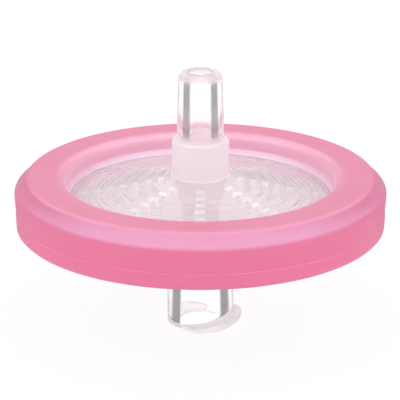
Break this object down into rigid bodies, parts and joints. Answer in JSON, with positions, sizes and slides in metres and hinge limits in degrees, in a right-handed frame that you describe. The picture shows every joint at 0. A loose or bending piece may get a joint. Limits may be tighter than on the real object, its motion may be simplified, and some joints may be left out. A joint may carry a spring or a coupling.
{
  "type": "syringe filter",
  "caption": "Disc syringe filter: clear moulded housing with a female lock inlet below, a male tapered outlet above and a pink ring moulded around its rim.",
  "frame": {"origin": "centre of the inlet's end face, on which the filter stands", "axes": "+Z along the flow axis, from the inlet's end face to the outlet's tip; +X and +Y lie in the plane of the disc, and one radial channel of the outlet disc points along -Y"},
  "size_m": [0.0346, 0.0346, 0.0243],
  "materials": {
    "clear_housing": "clear, slightly milky polypropylene, frosted on the hub",
    "membrane": "matt white filter membrane",
    "pink_ring": "pink polypropylene with a soft sheen, slightly translucent"
  },
  "bodies": {
    "root": {"inlet_housing": "clear_housing", "outlet_housing": "clear_housing", "membrane": "membrane", "sealing_ring": "pink_ring"}
  },
  "joints": []
}
